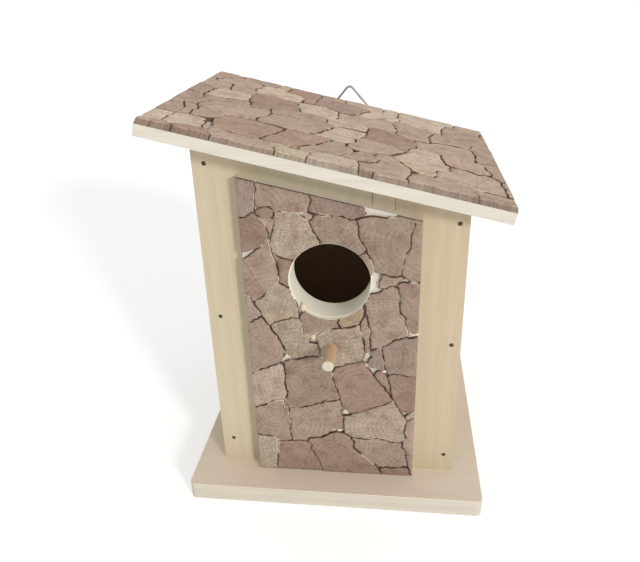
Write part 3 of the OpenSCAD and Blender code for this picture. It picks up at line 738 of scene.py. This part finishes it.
def panel_layer():
    def top_at(x):
        return PANEL_TOP_LEFT - (x + PANEL_HALF_WIDTH) * PANEL_TOP_FALL

    def on_outline(p):
        near_side = abs(p[0]) > PANEL_HALF_WIDTH - OUTLINE_NEAR
        return bool(near_side or p[1] < OUTLINE_NEAR or p[1] > top_at(p[0]) - TOP_LINE_NEAR)

    def clear(p):
        away = p - np.array((HOLE_X, HOLE_Z))
        distance = float(np.hypot(*away))
        if distance < HOLE_RADIUS + HOLE_CLEAR:
            p = np.array((HOLE_X, HOLE_Z)) + away / max(distance, 0.01) * (HOLE_RADIUS + HOLE_CLEAR)
        x = min(PANEL_HALF_WIDTH, max(-PANEL_HALF_WIDTH, p[0]))
        return np.array((x, min(top_at(x), max(0.0, p[1]))))

    def snap(p, moved):
        """A point of the panel's outline keeps to it, and moves only along it."""
        x = p[0] if abs(p[0]) > PANEL_HALF_WIDTH - OUTLINE_NEAR else moved[0]
        if p[1] < OUTLINE_NEAR:
            return np.array((x, p[1]))
        if p[1] > top_at(p[0]) - TOP_LINE_NEAR:
            return np.array((x, top_at(x)))
        return np.array((x, moved[1]))

    def place(x, z, height):
        return (x, PANEL_BACK_Y - height, BASE_TOP + z)

    # The last value darkens every slice of the panel: painted shade
    return {"on_outline": on_outline, "clear": clear, "snap": snap, "place": place,
            "slot": "wood_slices", "shade": 0.83}


def roof_layer():
    def on_outline(p):
        return bool(min(p[0], ROOF_LENGTH - p[0], p[1], ROOF_DEPTH - p[1]) < OUTLINE_NEAR)

    def clear(p):
        return np.array((min(ROOF_LENGTH, max(0.0, p[0])), min(ROOF_DEPTH, max(0.0, p[1]))))

    def snap(p, moved):
        """A point of the roof's outline keeps to it, and moves only along it."""
        u = p[0] if min(p[0], ROOF_LENGTH - p[0]) < OUTLINE_NEAR else moved[0]
        v = p[1] if min(p[1], ROOF_DEPTH - p[1]) < OUTLINE_NEAR else moved[1]
        return np.array((u, v))

    def place(u, v, height):
        slant = FRONT_SLANT * (1 + 0.5 * smooth_noise(u, 0.0, 4.4, 9.0))
        v += slant * max(0.0, 1 - v / FRONT_SLANT_REACH) * height / SLICE_THICKNESS
        height += ROOF_BOARD
        x = ROOF_EDGE_X + u * math.cos(ROOF_PITCH) + height * math.sin(ROOF_PITCH)
        z = ROOF_EDGE_Z - u * math.sin(ROOF_PITCH) + height * math.cos(ROOF_PITCH)
        return (x, ROOF_FRONT_Y + v, z)

    # The last value brightens every slice of the roof: painted light
    return {"on_outline": on_outline, "clear": clear, "snap": snap, "place": place,
            "slot": "wood_slices", "shade": 1.36}


def glue_beads(name, spots, layer, material):
    """Flat uneven drops that fill gaps between slices."""
    rows, turns = 6, 18
    verts, faces = [], []
    for index, (x, y, width, height) in enumerate(spots):
        base = len(verts)
        for row in range(rows):
            share = 1 - row / (rows - 0.6)
            for turn in range(turns):
                angle = math.tau * turn / turns
                ragged = 1 + 0.35 * smooth_noise(math.cos(angle), math.sin(angle), index * 3.7, 0.8)
                px = x + math.cos(angle) * width / 2 * share * ragged
                py = y + math.sin(angle) * height / 2 * share * ragged
                rise = 0.7 + 0.9 * (1 - share ** 3) if row else 0.0
                verts.append(layer["place"](px, py, rise))
        for row in range(rows - 1):
            for turn in range(turns):
                after = (turn + 1) % turns
                a, b = base + row * turns + turn, base + row * turns + after
                faces.append((a, b, b + turns, a + turns))
        faces.append(tuple(base + (rows - 1) * turns + i for i in range(turns)))
    piece = add_mesh(name, verts, faces)
    piece.data.materials.append(material)
    return piece


# ---------------------------------------------------------------- perch
def build_perch(material):
    """A turned dowel with an eased, slightly uneven end."""
    turns = 40
    profile = [(PERCH_SEAT_Y, 0.0), (PERCH_SEAT_Y, PERCH_RADIUS)]
    steps = 14
    for i in range(1, steps):
        y = PERCH_SEAT_Y + (PERCH_TIP_Y + 0.6 - PERCH_SEAT_Y) * i / steps
        profile.append((y, PERCH_RADIUS))
    profile += [(PERCH_TIP_Y + 0.55, PERCH_RADIUS), (PERCH_TIP_Y + 0.30, PERCH_RADIUS - 0.10)]
    profile += [(PERCH_TIP_Y + 0.12, PERCH_RADIUS - 0.30), (PERCH_TIP_Y + 0.02, PERCH_RADIUS - 0.62)]
    profile += [(PERCH_TIP_Y + 0.01, 1.2), (PERCH_TIP_Y + 0.01, 0.0)]
    verts, faces = [], []
    for row, (y, radius) in enumerate(profile):
        for turn in range(turns):
            angle = math.tau * turn / turns
            uneven = radius - 0.05 * (1 + smooth_noise(math.cos(angle), y / 5, 2.0, 0.7)) if radius else 0.0
            verts.append((HOLE_X + uneven * math.cos(angle), y, PERCH_Z + uneven * math.sin(angle)))
    for row in range(len(profile) - 1):
        for turn in range(turns):
            after = (turn + 1) % turns
            a, b = row * turns + turn, row * turns + after
            faces.append((a, a + turns, b + turns, b))
    piece = add_mesh("perch_dowel", verts, faces)
    piece.data.materials.append(material)
    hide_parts("perch")
    return piece


# ---------------------------------------------------------------- boards and hardware kept from the frame
def finish_node(node, material, ease_mm=0.0):
    """A frame node with its own material and, for boards, eased edges."""
    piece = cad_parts[node]
    piece.data.materials.clear()
    piece.data.materials.append(material)
    if ease_mm:
        bevel = piece.modifiers.new("eased_edges", "BEVEL")
        bevel.width = ease_mm * MM
        bevel.segments = 2
        bevel.limit_method = "ANGLE"
        bevel.angle_limit = math.radians(50)


def dress_boards():
    across = (0, math.radians(90), 0)
    joint = (grey(0.45), grey(0.5))
    strips = [
        (0.0, (1.0, 0.98, 0.94, 1)), (0.27, grey(1.0)), (0.646, joint[0]), (0.650, (0.98, 0.95, 0.91, 1)),
        (0.728, joint[1]), (0.733, (1.0, 0.94, 0.89, 1))]
    front = board_material("pine_front", (194, 186, 166), (184, 169, 143), strips=strips)
    pine = board_material("pine_side", (192, 183, 163), (180, 165, 141))
    # Factors that lighten the base's top: painted light
    base_top_light = (1.38, 1.31, 1.27, 1)
    base = board_material("pine_base", (200, 195, 182), (186, 174, 157), across, top_light=base_top_light)
    cream = board_material("pale_board", (212, 208, 197), (197, 189, 172), across)
    finish_node("front_board", front, 0.4)
    for node in ("back_board", "left_wall", "right_wall"):
        finish_node(node, pine, 0.4)
    finish_node("base_board", base, 0.7)
    finish_node("roof_board", cream, 0.4)
    finish_node("panel_backing", cream, 0.3)


def dress_hardware():
    wire = steel_material("wire_steel", (176, 176, 172), (132, 131, 128), 0.35)
    nail = steel_material("nail_steel", (104, 96, 88), (66, 52, 42), 0.5)
    for node in sorted(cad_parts):
        if node.startswith("hanger_"):
            finish_node(node, wire)
        if "_nail_" in node:
            finish_node(node, nail)


# ---------------------------------------------------------------- stage: floor, light, camera
def build_floor():
    """A white floor that goes pure white away from the object and keeps its shadow."""
    size = FLOOR_HALF_SIZE * MM
    corners = [(-size, -size), (size, -size), (size, size), (-size, size)]
    mesh = bpy.data.meshes.new("floor")
    mesh.from_pydata([(x, y, FLOOR_DROP * MM) for x, y in corners], [], [(0, 1, 2, 3)])
    floor = bpy.data.objects.new("floor", mesh)
    bpy.context.scene.collection.objects.link(floor)
    n = Nodes("floor_white")
    n.bsdf.inputs["Base Color"].default_value = grey(0.9)
    n.bsdf.inputs["Roughness"].default_value = 1.0
    n.bsdf.inputs["Specular IOR Level"].default_value = 0.0
    n.bsdf.inputs["Emission Color"].default_value = grey(1.0)
    n.bsdf.inputs["Emission Strength"].default_value = FLOOR_GLOW
    mesh.materials.append(n.material)


def build_light():
    scene = bpy.context.scene
    world = bpy.data.worlds.new("studio")
    scene.world = world
    world.use_nodes = True
    tree = world.node_tree
    background = tree.nodes["Background"]
    background.inputs["Color"].default_value = (1.0, 1.0, 1.0, 1.0)
    path = tree.nodes.new("ShaderNodeLightPath")
    strength = tree.nodes.new("ShaderNodeMapRange")
    strength.inputs["To Min"].default_value = AMBIENT
    strength.inputs["To Max"].default_value = 1.0
    seen = tree.nodes.new("ShaderNodeMath")
    seen.operation = "ADD"
    tree.links.new(path.outputs["Is Camera Ray"], seen.inputs[0])
    tree.links.new(path.outputs["Is Glossy Ray"], seen.inputs[1])
    shown = tree.nodes.new("ShaderNodeMath")
    shown.operation = "ADD"
    shown.use_clamp = True
    tree.links.new(seen.outputs[0], shown.inputs[0])
    tree.links.new(path.outputs["Is Transmission Ray"], shown.inputs[1])
    tree.links.new(shown.outputs[0], strength.inputs["Value"])
    tree.links.new(strength.outputs["Result"], background.inputs["Strength"])
    lamp = bpy.data.lights.new("key", "SUN")
    lamp.energy = KEY_STRENGTH
    lamp.angle = math.radians(KEY_ANGLE_DEG)
    lamp.color = KEY_COLOUR
    key = bpy.data.objects.new("key", lamp)
    key.rotation_euler = Vector(KEY_FROM).to_track_quat("Z", "Y").to_euler()
    scene.collection.objects.link(key)


def build_camera():
    data = bpy.data.cameras.new("camera")
    data.lens = CAMERA_LENS
    data.sensor_width = 36.0
    data.clip_start = 0.01
    camera = bpy.data.objects.new("camera", data)
    camera.location = Vector(CAMERA_PLACE) * MM
    camera.rotation_euler = Euler([math.radians(a) for a in CAMERA_TURN_DEG])
    bpy.context.scene.collection.objects.link(camera)
    bpy.context.scene.camera = camera


# ---------------------------------------------------------------- assembly
bpy.context.scene.view_settings.view_transform = "Standard"
wood = slice_material()
glue = glue_material()

panel_map = (read_corners(PANEL_CORNERS), read_slices(PANEL_SLICES))
panel = build_mosaic("panel_mosaic", *panel_map, panel_layer(), wood)
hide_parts("panel_slices")
glue_beads("panel_glue", PANEL_GLUE, panel_layer(), glue)

roof_map = (read_corners(ROOF_CORNERS), read_slices(ROOF_SLICES))
roof = build_mosaic("roof_mosaic", *roof_map, roof_layer(), wood)
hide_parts("roof_slices")
glue_beads("roof_glue", ROOF_GLUE, roof_layer(), glue)

build_perch(perch_material())
dress_boards()
dress_hardware()
build_floor()
build_light()
build_camera()
